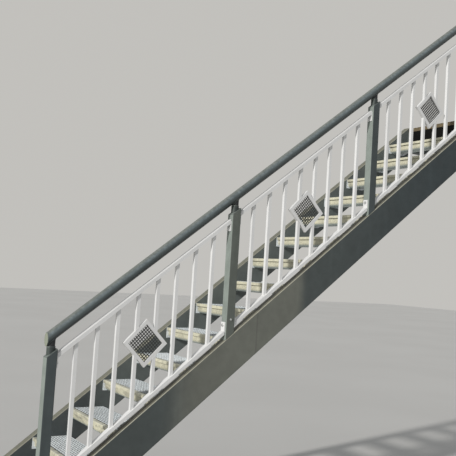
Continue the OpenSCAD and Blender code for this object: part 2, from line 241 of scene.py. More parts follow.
class Material:
    """A node material, with short methods for the nodes that the materials here share. A value is a
    number or a socket. A colour is a tuple in linear light or a socket."""

    def __init__(self, name, metallic=0.0):
        self.data = bpy.data.materials.new(name)
        self.data.use_nodes = True
        self.nodes = self.data.node_tree.nodes
        self.links = self.data.node_tree.links
        self.shader = self.nodes["Principled BSDF"]
        self.shader.inputs["Metallic"].default_value = metallic
        self.place = self.nodes.new("ShaderNodeTexCoord").outputs["Object"]

    def put(self, socket, value):
        """Sets a socket to a number or a colour, or links it to another socket."""
        if isinstance(value, tuple):
            socket.default_value = value if len(socket.default_value) == len(value) else (*value, 1.0)
        elif isinstance(value, (int, float)):
            socket.default_value = value
        else:
            self.links.new(value, socket)

    def noise(self, scale, detail, along=(1, 1, 1)):
        """Clouds from 0 to 1, in the object's coordinates scaled along each axis."""
        stretch = self.nodes.new("ShaderNodeMapping")
        self.put(stretch.inputs["Scale"], along)
        self.put(stretch.inputs["Vector"], self.place)
        node = self.nodes.new("ShaderNodeTexNoise")
        self.put(node.inputs["Scale"], scale)
        self.put(node.inputs["Detail"], detail)
        self.put(node.inputs["Roughness"], NOISE_ROUGHNESS)
        self.put(node.inputs["Vector"], stretch.outputs["Vector"])
        return node.outputs["Fac"]

    def cells(self, scale):
        """The grey value of each cell of a Voronoi pattern."""
        node = self.nodes.new("ShaderNodeTexVoronoi")
        self.put(node.inputs["Scale"], scale)
        self.put(node.inputs["Vector"], self.place)
        split = self.nodes.new("ShaderNodeSeparateColor")
        self.put(split.inputs["Color"], node.outputs["Color"])
        return split.outputs["Red"]

    def between(self, value, low, high, to_low=0.0, to_high=1.0):
        """A value taken smoothly from one range to another, and held inside it."""
        node = self.nodes.new("ShaderNodeMapRange")
        node.interpolation_type = "SMOOTHSTEP"
        self.put(node.inputs["From Min"], low)
        self.put(node.inputs["From Max"], high)
        self.put(node.inputs["To Min"], to_low)
        self.put(node.inputs["To Max"], to_high)
        self.put(node.inputs["Value"], value)
        return node.outputs["Result"]

    def from_full(self, share, value):
        """1 where a share is 0, and the given value where it is 1."""
        return self.between(share, 0.0, 1.0, 1.0, value)

    def clouds(self, scale, detail, low, high):
        """Clouds from a low value to a high one."""
        return self.between(self.noise(scale, detail), *NOISE_RANGE, low, high)

    def math(self, operation, first, second):
        node = self.nodes.new("ShaderNodeMath")
        node.operation = operation
        self.put(node.inputs[0], first)
        self.put(node.inputs[1], second)
        return node.outputs["Value"]

    def times(self, product, *values):
        """The product of values."""
        for value in values:
            product = self.math("MULTIPLY", product, value)
        return product

    def mix(self, factor, first, second):
        """A colour between two colours."""
        node = self.nodes.new("ShaderNodeMix")
        node.data_type = "RGBA"
        self.put(node.inputs["Factor"], factor)
        colours = [socket for socket in node.inputs if socket.type == "RGBA"]
        self.put(colours[0], first)
        self.put(colours[1], second)
        return [socket for socket in node.outputs if socket.type == "RGBA"][0]

    def shade(self, colour, value):
        """A colour made lighter or darker by a value."""
        node = self.nodes.new("ShaderNodeVectorMath")
        node.operation = "SCALE"
        self.put(node.inputs[0], colour)
        self.put(node.inputs["Scale"], value)
        return node.outputs["Vector"]

    def part(self, vector, axis):
        """A vector's part along an axis."""
        split = self.nodes.new("ShaderNodeSeparateXYZ")
        self.put(split.inputs["Vector"], vector)
        return split.outputs[axis]

    def facing(self, axis, low, high):
        """0 to 1 as the surface's normal along an axis goes from low to high."""
        geometry = self.nodes.new("ShaderNodeNewGeometry")
        return self.between(self.part(geometry.outputs["Normal"], axis), low, high)

    def placed(self, axis, low, high):
        """0 to 1 as the place along an axis goes from low to high."""
        return self.between(self.part(self.place, axis), low, high)

    def finish(self, colour, roughness, bump, depth, strength):
        """Joins the colour, the roughness and a bump of a given depth to the shader."""
        self.put(self.shader.inputs["Base Color"], colour)
        self.put(self.shader.inputs["Roughness"], roughness)
        node = self.nodes.new("ShaderNodeBump")
        self.put(node.inputs["Distance"], depth)
        self.put(node.inputs["Strength"], strength)
        self.put(node.inputs["Height"], bump)
        self.put(self.shader.inputs["Normal"], node.outputs["Normal"])
        return self.data


def worn_lit_corners(paint):
    """1 along the rounded upper corners that look towards -Y, worn and carrying a painted highlight, broken
    up by chips.
    """
    corner = paint.times(paint.facing("Y", -0.25, -0.50), paint.facing("Y", -0.99, -0.93))
    chipped = paint.between(paint.noise(50, 5), 0.25, 0.55, 0.60, 1.0)
    return paint.times(corner, paint.facing("Z", 0.03, 0.15), chipped)


def weathered(paint, side, lit_face, dust_and_light_colour, edge=None, top_from=0.30, top_full=0.75,
              underside=0.85, matt=0.60):
    """Old dark grey paint: its colour on plumb faces, a lighter colour on faces towards -X that is painted
    sunlight, darker faces that look down as painted shade, a dusting with painted light on upper sides, and
    along rounded long corners worn paint with a painted highlight."""
    runs = paint.between(paint.noise(11, 3, along=(1, 1, 0.10)), 0.52, 0.80, 1.0, 1.18)
    tone = paint.times(paint.clouds(2.3, 5, 0.90, 1.09), paint.clouds(17, 6, 0.94, 1.06), runs)
    # Faces towards -X take a lighter colour: painted sunlight.
    painted_sunlight = paint.shade(lit_face, paint.clouds(13, 5, 0.90, 1.08))
    coat = paint.mix(paint.facing("X", -0.45, -0.9), paint.shade(side, tone), painted_sunlight)
    # Faces that look down are darker: painted shade.
    facing_down = paint.facing("Z", -0.1, -0.55)
    coat = paint.shade(coat, paint.from_full(facing_down, underside))
    # Upper sides: a dusting, lightened further as painted light.
    dust_and_light_share = paint.times(paint.facing("Z", top_from, top_full), paint.clouds(35, 6, 0.55, 1.0))
    coat = paint.mix(dust_and_light_share, coat, paint.shade(dust_and_light_colour, paint.clouds(60, 4, 0.82, 1.14)))
    if edge:
        # Rounded corners: worn paint with a painted highlight.
        coat = paint.mix(worn_lit_corners(paint), coat, edge)
    specks = paint.between(paint.noise(140, 3), 0.68, 0.78, 1.0, 0.72)
    roughness = paint.clouds(14, 4, matt - UNEVEN_GLOSS, matt + UNEVEN_GLOSS)
    return paint.finish(paint.shade(coat, specks), roughness, paint.noise(260, 2),
                        depth=0.0004, strength=0.5)


def lit_stretch(paint, plain, lit_colour):
    """The colour of the near side, lighter along one stretch: a painted patch of sunlight."""
    stretch = paint.times(paint.placed("X", *LIT_STRETCH_IN), paint.placed("X", *LIT_STRETCH_OUT),
                          paint.facing("Y", -0.3, -0.8))
    return paint.mix(stretch, plain, lit_colour)


def stringer_paint():
    """The near stringer: a painted patch of sunlight along one stretch, darker uphill of it, and a dusting
    on top with painted shade downhill and in patches.
    """
    paint = Material("stringer_paint")
    side = lit_stretch(paint, plain=(0.066, 0.079, 0.078), lit_colour=(0.156, 0.163, 0.140))
    side = paint.mix(paint.placed("X", *DARKER_UPHILL), side, (0.036, 0.049, 0.054))
    # A thin dark line down the near side.
    dark_line = paint.times(paint.placed("X", DARK_LINE_X - DARK_LINE_HALF, DARK_LINE_X),
                      paint.placed("X", DARK_LINE_X + DARK_LINE_HALF, DARK_LINE_X))
    side = paint.shade(side, paint.from_full(dark_line, 0.80))
    # The top's colour: a dusting, darker downhill and in patches as painted shade of the bottom rail.
    dust_and_light_colour = paint.mix(paint.placed("X", *TOP_SHADED_DOWNHILL), (0.098, 0.088, 0.058), (0.176, 0.166, 0.122))
    patchy_dust_and_shade = paint.between(paint.noise(9, 5, along=(1, 0.3, 1)), 0.35, 0.65, 0.72, 1.30)
    return weathered(paint, side, lit_face=(0.27, 0.30, 0.28), dust_and_light_colour=paint.shade(dust_and_light_colour, patchy_dust_and_shade),
                     edge=(0.42, 0.41, 0.33))


def far_stringer_paint():
    """The far stringer, lighter uphill."""
    paint = Material("far_stringer_paint")
    side = paint.mix(paint.placed("X", *FAR_SIDE_LIGHTER), (0.070, 0.083, 0.086), (0.130, 0.149, 0.143))
    return weathered(paint, side, lit_face=(0.27, 0.30, 0.28), dust_and_light_colour=(0.19, 0.185, 0.135),
                     edge=(0.31, 0.30, 0.24))


def beam_paint():
    """The landing's beams and columns."""
    return weathered(Material("beam_paint"), side=(0.090, 0.104, 0.102), lit_face=(0.24, 0.27, 0.25),
                     dust_and_light_colour=(0.15, 0.14, 0.09), edge=(0.32, 0.31, 0.27))


def shaded_beam_paint():
    """The beam at the head of the flight, nearly black as painted shade, which hardly catches light."""
    paint = Material("shaded_beam_paint")
    paint.shader.inputs["Specular IOR Level"].default_value = SHADED_BEAM_GLOSS
    return weathered(paint, side=(0.006, 0.006, 0.005), lit_face=(0.006, 0.006, 0.005),
                     dust_and_light_colour=(0.04, 0.036, 0.028))


def post_paint():
    """The posts, lighter on the second one, which stands in the same painted patch of sunlight as the
    stringer.
    """
    paint = Material("post_paint")
    side = lit_stretch(paint, plain=(0.057, 0.071, 0.074), lit_colour=(0.119, 0.134, 0.118))
    return weathered(paint, side, lit_face=(0.262, 0.300, 0.272), dust_and_light_colour=(0.160, 0.185, 0.172))


def handrail_paint():
    """The handrail: lighter from its middle up as a painted highlight, and darker below as painted shade.
    """
    paint = Material("handrail_paint")
    # The upper half is lighter: painted highlight.
    upper = paint.mix(paint.facing("Z", 0.38, 0.75), (0.168, 0.204, 0.216), (0.198, 0.216, 0.200))
    # Its underside is darker still: painted shade.
    return weathered(paint, side=(0.072, 0.090, 0.092), lit_face=(0.300, 0.325, 0.250), dust_and_light_colour=upper,
                     top_from=-0.02, top_full=0.40, underside=0.38, matt=0.46)


def stub_shade_paint():
    """The stubs, nearly black: painted shade of the handrail."""
    return weathered(Material("stub_shade_paint"), side=(0.018, 0.020, 0.022), lit_face=(0.055, 0.064, 0.060),
                     dust_and_light_colour=(0.05, 0.05, 0.04))


def sleeve_shade_paint():
    """The sleeves round the stubs' feet, between the stubs and the posts in tone: painted shade of the
    handrail.
    """
    return weathered(Material("sleeve_shade_paint"), side=(0.032, 0.041, 0.040), lit_face=(0.060, 0.076, 0.068),
                     dust_and_light_colour=(0.06, 0.07, 0.06))


def white_paint():
    """The infill panels' white paint, greyer on faces that look down as painted shade, with grime, faint
    runs and specks.
    """
    paint = Material("white_paint")
    grime = paint.between(paint.noise(9, 6), 0.52, 0.8, 0.0, 0.30)
    base = paint.mix(grime, (0.83, 0.83, 0.825), (0.70, 0.68, 0.64))
    runs = paint.between(paint.noise(30, 3, along=(1, 1, 0.08)), 0.60, 0.82, 0.0, 0.22)
    base = paint.mix(runs, base, (0.62, 0.60, 0.56))
    # Faces that look down turn greyer: painted shade.
    under = paint.times(paint.facing("Z", -0.2, -0.7), 0.35)
    base = paint.mix(under, base, (0.55, 0.54, 0.52))
    specks = paint.between(paint.noise(120, 3), 0.70, 0.80, 1.0, 0.80)
    colour = paint.shade(base, paint.times(paint.clouds(5, 5, 0.95, 1.02), specks))
    return paint.finish(colour, paint.clouds(20, 3, 0.28, 0.45), paint.noise(220, 2),
                        depth=0.0003, strength=0.4)


def galvanised(zinc, colour):
    """Weathered zinc with its spangle, over a colour."""
    spangle = zinc.cells(110)
    tone = zinc.times(zinc.between(spangle, 0.0, 1.0, 0.90, 1.07), zinc.clouds(9, 6, 0.92, 1.05))
    roughness = zinc.between(spangle, 0.0, 1.0, 0.38, 0.55)
    return zinc.finish(zinc.shade(colour, tone), roughness, zinc.noise(160, 3),
                       depth=0.0004, strength=0.4)


def trodden(zinc, side, top):
    """One colour on plumb faces and another on the top that is walked on."""
    return zinc.mix(zinc.facing("Z", 0.5, 0.95), side, top)


def grating_zinc():
    """The gratings: darker deep down in the mesh as painted shade, the mesh's top lying at a whole number
    of risers, and brown along the landing's front edge."""
    zinc = Material("grating_zinc", metallic=0.05)
    base = trodden(zinc, side=(0.84, 0.89, 0.91), top=(0.94, 0.97, 0.98))
    over = zinc.math("MODULO", zinc.part(zinc.place, "Z"), RISER)
    # Deep in the mesh the zinc darkens: painted shade.
    base = zinc.mix(zinc.between(over, *MESH_SHADE_DEPTH, 1.0, 0.0), base, (0.21, 0.225, 0.235))
    brownish = zinc.times(zinc.placed("X", *BROWN_BEHIND), zinc.placed("X", *BROWN_BEFORE))
    return galvanised(zinc, zinc.mix(brownish, base, (0.170, 0.130, 0.070)))


def plate_zinc():
    """The treads' front plates: darker in blotches by the end plates, stained above all near the ground,
    with runs, and cleaner zinc below that is bluer and darker as painted shade."""
    zinc = Material("plate_zinc", metallic=0.1)
    soiled = (0.30, 0.29, 0.235)
    base = trodden(zinc, side=(0.75, 0.722, 0.545), top=(0.76, 0.75, 0.62))
    far_end = zinc.placed("Y", *[PLATE_FACE - inset for inset in END_DARKENING])
    near_end = zinc.placed("Y", *[inset - PLATE_FACE for inset in END_DARKENING])
    blotches = zinc.times(zinc.math("MAXIMUM", far_end, near_end),
                      zinc.between(zinc.noise(40, 5), 0.25, 0.6, 0.10, 0.40))
    base = zinc.mix(blotches, base, soiled)
    low_down = zinc.between(zinc.placed("Z", *NEAR_GROUND), 0.0, 1.0, 0.26, 1.0)
    stains = zinc.between(zinc.noise(16, 6, along=(1, 1, 2)), 0.42, 0.66, 0.06, 0.84)
    base = zinc.mix(zinc.times(stains, low_down), base, soiled)
    runs = zinc.between(zinc.noise(45, 3, along=(0.1, 1, 0.15)), 0.55, 0.80, 0.0, 0.45)
    base = zinc.mix(runs, base, soiled)
    # Faces that look down turn bluer and darker: cleaner zinc, with painted shade and a painted sky
    # reflection.
    return galvanised(zinc, zinc.mix(zinc.facing("Z", -0.30, -0.80), base, (0.46, 0.52, 0.49)))


def end_zinc():
    """The treads' bright end plates."""
    zinc = Material("end_zinc", metallic=0.05)
    return galvanised(zinc, trodden(zinc, side=(0.88, 0.93, 0.97), top=(0.78, 0.81, 0.80)))


def sheet_paint():
    """The dark perforated sheets in the diamonds."""
    paint = Material("sheet_grey")
    blotches = paint.between(paint.noise(60, 5), 0.45, 0.75, 0.0, 0.5)
    base = paint.mix(blotches, (0.028, 0.031, 0.032), (0.048, 0.045, 0.038))
    colour = paint.shade(base, paint.clouds(12, 5, 0.85, 1.12))
    return paint.finish(colour, paint.clouds(25, 4, 0.4, 0.55), paint.noise(300, 2),
                        depth=0.0003, strength=0.4)


def bolt_zinc():
    """Bolts, screws, washers and nuts, with a little rust."""
    zinc = Material("bolt_zinc", metallic=0.7)
    patches = zinc.between(zinc.noise(120, 4), 0.35, 0.65)
    base = zinc.mix(patches, (0.46, 0.47, 0.46), (0.66, 0.67, 0.66))
    brownish = zinc.between(zinc.noise(210, 5), 0.66, 0.78, 0.0, 0.35)
    base = zinc.mix(brownish, base, (0.26, 0.15, 0.08))
    return zinc.finish(base, zinc.clouds(200, 2, 0.32, 0.52), zinc.noise(600, 2),
                       depth=0.0002, strength=0.4)


def finish_mesh(name, shape, sharp):
    """Turns a bmesh into a mesh whose shallow edges are smooth and whose sharp edges stay sharp."""
    bmesh.ops.recalc_face_normals(shape, faces=shape.faces)
    for face in shape.faces:
        face.smooth = True
    for edge in shape.edges:
        if len(edge.link_faces) == 2 and edge.calc_face_angle(0) > sharp:
            edge.smooth = False
    mesh = bpy.data.meshes.new(name)
    shape.to_mesh(mesh)
    shape.free()
    mesh.update()
    return mesh


def new_piece(name, shape, material, node=None, sharp=SHARP):
    """A piece that rides on the stair and, where a node is named, stands for it."""
    piece = bpy.data.objects.new(name, finish_mesh(name, shape, sharp))
    bpy.context.scene.collection.objects.link(piece)
    piece.data.materials.append(material)
    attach(piece, BODY)
    if node:
        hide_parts(node)


def add_box(shape, low, high):
    """A box between two opposite corners."""
    corners = [shape.verts.new((x, y, z)) for x in (low[0], high[0]) for y in (low[1], high[1])
               for z in (low[2], high[2])]
    for face in BOX_FACES:
        shape.faces.new([corners[i] for i in face])


def add_prism(shape, outline, x, z, y0, y1):
    """An outline of (x, z) points round a point, swept across the stair from y0 to y1."""
    near = [shape.verts.new((x + a, y0, z + b)) for a, b in outline]
    far = [shape.verts.new((x + a, y1, z + b)) for a, b in outline]
    shape.faces.new(near)
    shape.faces.new(far[::-1])
    for i in range(len(outline)):
        j = (i + 1) % len(outline)
        shape.faces.new((near[j], near[i], far[i], far[j]))


def turns(count):
    """The angles of a whole turn in equal steps."""
    return [2 * math.pi * i / count for i in range(count)]


def arc(x, z, radius, start, end, steps=5):
    """Points of an arc round (x, z), between two angles in degrees."""
    angles = [math.radians(start + (end - start) * i / steps) for i in range(steps + 1)]
    return [(x + radius * math.cos(a), z + radius * math.sin(a)) for a in angles]


def ring(centre, first, second, count=48):
    """Points of an ellipse round a centre, with its two half axes as vectors."""
    centre, first, second = Vector(centre), Vector(first), Vector(second)
    return [centre + math.cos(t) * first + math.sin(t) * second for t in turns(count)]


def rounded_square(x, y, z, half_x, half_y, corner=BOX_CORNER):
    """The outline of a section in plan, with its corners rounded."""
    points = []
    for k, (i, j) in enumerate(((1, 1), (-1, 1), (-1, -1), (1, -1))):
        centre_x, centre_y = x + i * (half_x - corner), y + j * (half_y - corner)
        points += [(a, b, z) for a, b in arc(centre_x, centre_y, corner, 90 * k, 90 * (k + 1))]
    return points


def aimed(point, direction):
    """The place whose own Z axis points along a direction."""
    return Matrix.Translation(point) @ Vector(direction).to_track_quat("Z", "Y").to_matrix().to_4x4()


def add_turned(shape, place, profile, sides):
    """A profile of (radius, height) points turned round the place's Z axis, from axis to axis or
    from one point back to itself."""
    rings = []
    for radius, height in profile:
        angles = turns(sides) if radius else [0.0]
        rings.append([shape.verts.new(place @ Vector((radius * math.cos(t), radius * math.sin(t), height)))
                      for t in angles])
    for below, above in zip(rings, rings[1:]):
        for i in range(sides):
            j = (i + 1) % sides
            corners = [points[k % len(points)]
                       for points, k in ((below, i), (below, j), (above, j), (above, i))]
            shape.faces.new(list(dict.fromkeys(corners)))


def add_washer(shape, place, thread):
    """A flat washer with a chamfered rim. Gives its thickness."""
    thickness = thread * WASHER_THICKNESS
    chamfer, rim = thickness * 0.8, thread * 0.96
    profile = [(0, 0), (thread, 0), (thread, chamfer), (rim, thickness), (0, thickness)]
    add_turned(shape, place, profile, sides=24)
    return thickness


def add_hexagon(shape, place, thread, start, height):
    """A hexagon head or nut with a chamfered upper edge."""
    corner, end = thread * HEXAGON_RADIUS, start + height
    chamfer, rim = start + height * 0.84, corner * 0.88
    profile = [(0, start), (corner, start), (corner, chamfer), (rim, end), (0, end)]
    add_turned(shape, place, profile, sides=6)


def add_bolt(shape, point, direction, thread):
    """A hexagon head on its washer."""
    place = aimed(point, direction)
    washer = add_washer(shape, place, thread)
    add_hexagon(shape, place, thread, washer, thread * HEAD_HEIGHT)


def add_anchor(shape, point):
    """A threaded stud that stands in its hole, with a nut on its washer. The heights of its points
    over the nut are in turns of the thread."""
    place = Matrix.Translation(point)
    washer = add_washer(shape, place, ANCHOR)
    add_hexagon(shape, place, ANCHOR, washer, ANCHOR * NUT_HEIGHT)
    top = washer + ANCHOR * NUT_HEIGHT
    root, crest = ANCHOR * THREAD_ROOT, ANCHOR * THREAD_CREST
    points = []
    for turn in range(THREAD_TURNS):
        points += [(root, turn + 0.25), (crest, turn + 0.75)]
    points += [(root, THREAD_TURNS + 0.4), (0, THREAD_TURNS + 0.6)]
    stud = [(0, -PLATE), (crest, -PLATE)] + [(radius, top + turn * THREAD_PITCH) for radius, turn in points]
    add_turned(shape, place, stud, sides=16)


def half_ripples(path, closed):
    """Points along a path, half a ripple apart."""
    points = [Vector(point) for point in path]
    if closed:
        points.append(points[0])
    lengths = [0.0]
    for a, b in zip(points, points[1:]):
        lengths.append(lengths[-1] + (b - a).length)
    steps = 2 * max(1, round(lengths[-1] / RIPPLE))
    line = []
    leg = 0
    for i in range(steps if closed else steps + 1):
        distance = lengths[-1] * i / steps
        while leg < len(points) - 2 and lengths[leg + 1] < distance:
            leg += 1
        share = (distance - lengths[leg]) / (lengths[leg + 1] - lengths[leg])
        line.append(points[leg].lerp(points[leg + 1], share))
    return line


def add_bead(shape, path, radius, closed=False, sides=6):
    """A weld bead along a path, thicker where each drop has set."""
    line = half_ripples(path, closed)
    count = len(line)
    side = None
    rings = []
    for i in range(count):
        before = line[(i - 1) % count] if closed or i else line[i]
        after = line[(i + 1) % count] if closed or i < count - 1 else line[i]
        way = (after - before).normalized()
        side = way.orthogonal() if side is None else side - way * side.dot(way)
        side.normalize()
        up = way.cross(side)
        swell = radius * (THICK if i % 2 else THIN)
        rings.append([shape.verts.new(line[i] + swell * (math.cos(t) * side + math.sin(t) * up))
                      for t in turns(sides)])
    for first, second in zip(rings, rings[1:] + rings[:1] if closed else rings[1:]):
        for k in range(sides):
            m = (k + 1) % sides
            shape.faces.new((first[k], first[m], second[m], second[k]))
    if not closed:
        shape.faces.new(rings[0][::-1])
        shape.faces.new(rings[-1])


def nosing_line(x):
    """The height of the nosing line over a place, and of the landing behind the flight."""
    return RISER + SLOPE * (x - FIRST_NOSING) if x < LANDING_X else LANDING_Z


def underside_x(height):
    """Where the stringer's underside is at a height."""
    return FIRST_NOSING + (height + BOX_DEPTH / math.cos(PITCH) - TOP_REVEAL - RISER) / SLOPE


def add_grating(shape, x0, x1, y0, y1, top):
    """Bearing bars across the stair and lower cross bars along it, flush on top."""
    across = max(1, round((x1 - x0) / BEARING_PITCH))
    along = max(1, round((y1 - y0) / CROSS_PITCH))
    for i in range(across + 1):
        x = x0 + (x1 - x0 - BEARING_BAR) * i / across
        add_box(shape, (x, y0, top - GRATING_HEIGHT), (x + BEARING_BAR, y1, top))
    for i in range(along + 1):
        y = y0 + (y1 - y0 - CROSS_BAR) * i / along
        add_box(shape, (x0, y, top - CROSS_HEIGHT), (x1, y + CROSS_BAR, top))


def nosing_outline():
    """The folded nosing with its upright lip, from the nosing line."""
    outline = arc(BEND, -BEND, BEND, 180, 90)
    outline += [(NOSING, 0), (NOSING, -SHEET)]
    outline += arc(BEND, -BEND, BEND - SHEET, 90, 180)
    return outline + [(SHEET, -LIP), (0, -LIP)]


def front_outline():
    """The set-back front plate, which turns under and runs back as a flange."""
    flat = FRONT_HEIGHT - CURL_RADIUS
    middle = FRONT_RECESS + CURL_RADIUS
    outline = [(FRONT_RECESS, -SHEET)]
    outline += arc(middle, -flat, CURL_RADIUS, 180, 270, steps=10)
    outline += [(middle + FLANGE, -FRONT_HEIGHT), (middle + FLANGE, SHEET - FRONT_HEIGHT)]
    outline += arc(middle, -flat, CURL_RADIUS - SHEET, 270, 180, steps=10)
    return outline + [(FRONT_RECESS + SHEET, -SHEET)]


def end_outline():
    """An end plate with a bevel at its back."""
    return [(0, 0), (0, -TREAD_HEIGHT), (TREAD_DEPTH - END_BEVEL, -TREAD_HEIGHT),
            (TREAD_DEPTH, -GRATING_HEIGHT), (TREAD_DEPTH, 0)]


def make_tread(number, grating_material, plate_material, end_material):
    """Three pieces that stand for a tread's node: front plates, end plates and grating."""
    x = FIRST_NOSING + (number - 1) * GOING
    top = number * RISER
    node = f"tread_{number:02d}"

    plates = bmesh.new()
    for outline in (nosing_outline(), front_outline()):
        add_prism(plates, outline, x, top, -PLATE_FACE - TUCKED_IN, PLATE_FACE + TUCKED_IN)
    new_piece(f"{node}_front", plates, plate_material, node)

    ends = bmesh.new()
    for y in (-CLEAR / 2, PLATE_FACE):
        add_prism(ends, end_outline(), x, top, y, y + END_PLATE)
    new_piece(f"{node}_ends", ends, end_material, node)

    grating = bmesh.new()
    add_grating(grating, x + NOSING - BEARING_BAR, x + TREAD_DEPTH, -PLATE_FACE, PLATE_FACE, top)
    new_piece(f"{node}_grating", grating, grating_material, node)


def make_landing_grating(node, material):
    """The real mesh of a landing grating between its two rims, which stands for its node."""
    low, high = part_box(node)
    shape = bmesh.new()
    add_grating(shape, low.x, high.x, low.y + RIM, high.y - RIM, high.z)
    for y in (low.y, high.y - RIM):
        add_box(shape, (low.x, y, low.z), (high.x, y + RIM, high.z))
    new_piece(f"{node}_mesh", shape, material, node)


def make_tread_bolts(material):
    """Two bolts through each end plate into the stringer, under the grating."""
    shape = bmesh.new()
    for number in range(TREADS):
        for offset in TREAD_BOLTS:
            for side in (-1, 1):
                point = (FIRST_NOSING + number * GOING + offset, side * PLATE_FACE,
                         (number + 1) * RISER - TREAD_BOLT_DROP)
                add_bolt(shape, point, (0, -side, 0), TREAD_BOLT)
    new_piece("tread_bolts", shape, material)


def make_lug_screws(material):
    """A screw through each lug into its post, and the small bolt in front of the second post."""
    shape = bmesh.new()
    bays = [(POSTS[i] + POST, POSTS[i + 1]) for i in range(3)] + [(POSTS[3] + POST, END_POST_X - POST / 2)]
    for start, end in bays:
        base = nosing_line(start)
        rise = nosing_line(end) - base if end < LANDING_X else 0
        for height in (LOW_SCREW, HIGH_SCREW):
            add_bolt(shape, (start + LUG, NEAR_Y, base + height), (1, 0, 0), LUG_SCREW)
            add_bolt(shape, (end - LUG, NEAR_Y, base + rise + height), (-1, 0, 0), LUG_SCREW)
    for height in (LOW_SCREW, HIGH_SCREW):
        for side in (-1, 1):
            point = (END_POST_X, side * (FAR_Y - POST / 2 - LUG), LANDING_Z + height)
            add_bolt(shape, point, (0, -side, 0), LUG_SCREW)
    middle = POSTS[1] + POST / 2
    point = (middle, NEAR_Y - POST / 2, nosing_line(middle) + SMALL_BOLT_HEIGHT)
    add_bolt(shape, point, (0, -1, 0), SMALL_BOLT)
    new_piece("lug_screws", shape, material)


def make_anchors(material):
    """Four anchor studs in each of the four base plates."""
    shape = bmesh.new()
    plates = [(FOOT_X, side * FAR_Y, FOOT_LENGTH) for side in (-1, 1)]
    plates += [(COLUMN_X, side * COLUMN_Y, PLATE_WIDTH) for side in (-1, 1)]
    reach_y = PLATE_WIDTH / 2 - ANCHOR_EDGE
    for x, y, length in plates:
        reach_x = length / 2 - ANCHOR_EDGE
        for i in (-1, 1):
            for j in (-1, 1):
                add_anchor(shape, (x + i * reach_x, y + j * reach_y, PLATE))
    new_piece("anchors", shape, material)


def stub_places():
    """Each stub's x and y, and the slope of the post's top under it."""
    places = [(x + POST / 2, NEAR_Y, SLOPE) for x in POSTS]
    return places + [(END_POST_X, NEAR_Y, 0.0), (END_POST_X, FAR_Y, 0.0)]


def under_handrail(x, y, dx, dy):
    """The height of the handrail's underside at a small offset from a stub's axis: under the level
    rails that meet over the corner post, and under the sloping rail or the level one behind it."""
    if x > LANDING_X + POST:
        beside = dx if y > 0 or dx + dy > 0 else dy
        return RAIL_AXIS - math.sqrt(RAIL_RADIUS**2 - beside**2)
    drop = math.sqrt(RAIL_RADIUS**2 - dy**2)
    return min(RAIL_AXIS - drop, RAIL_AXIS + SLOPE * (x + dx - LANDING_X) - drop / math.cos(PITCH))


def add_stub_beads(shape):
    """Rings round the stubs' feet and heads."""
    for x, y, slope in stub_places():
        foot = ring((x, y, nosing_line(x) + POST_HEIGHT), (SLEEVE_RADIUS, 0, slope * SLEEVE_RADIUS),
                    (0, SLEEVE_RADIUS, 0))
        add_bead(shape, foot, BEAD, closed=True)
        saddle = []
        for t in turns(36):
            dx, dy = STUB_RADIUS * math.cos(t), STUB_RADIUS * math.sin(t)
            saddle.append((x + dx, y + dy, under_handrail(x, y, dx, dy)))
        add_bead(shape, saddle, BEAD, closed=True)


def add_rail_beads(shape):
    """Rings round the handrail's two mitres and its two caps."""
    lean = RAIL_RADIUS * math.tan(PITCH / 2)
    flight = ring((LANDING_X, NEAR_Y, RAIL_AXIS), (-lean, 0, RAIL_RADIUS), (0, RAIL_RADIUS, 0))
    corner = ring((END_POST_X, NEAR_Y, RAIL_AXIS), (0, 0, RAIL_RADIUS), (-RAIL_RADIUS, RAIL_RADIUS, 0))
    start = POSTS[0] + CAP
    low = RAIL_AXIS + SLOPE * (start - LANDING_X)
    lower_cap = ring((start, NEAR_Y, low), (0, RAIL_RADIUS, 0), (0, 0, RAIL_RADIUS / math.cos(PITCH)))
    end = FAR_Y + POST / 2 - CAP
    upper_cap = ring((END_POST_X, end, RAIL_AXIS), (RAIL_RADIUS, 0, 0), (0, 0, RAIL_RADIUS))
    for path, radius in ((flight, RAIL_BEAD), (corner, RAIL_BEAD), (lower_cap, SEAM_BEAD),
                         (upper_cap, SEAM_BEAD)):
        add_bead(shape, path, radius, closed=True)


def add_post_bead(shape, x, y, z):
    """A bead across the stair, along one edge of a post's foot."""
    reach = POST / 2 - BOX_CORNER
    add_bead(shape, [(x, y - reach, z), (x, y + reach, z)], BEAD)


def add_foot_beads(shape, side):
    """Beads round the stringer's foot and the column's foot on one side."""
    start, end = FIRST_NOSING - FOOT_FRONT, underside_x(PLATE)
    foot = rounded_square((start + end) / 2, side * FAR_Y, PLATE, (end - start) / 2, BOX_WIDTH / 2,
                          FOOT_CORNER)
    column = rounded_square(COLUMN_X, side * COLUMN_Y, PLATE, COLUMN / 2, COLUMN / 2)
    for outline in (foot, column):
        add_bead(shape, outline, BEAD, closed=True)


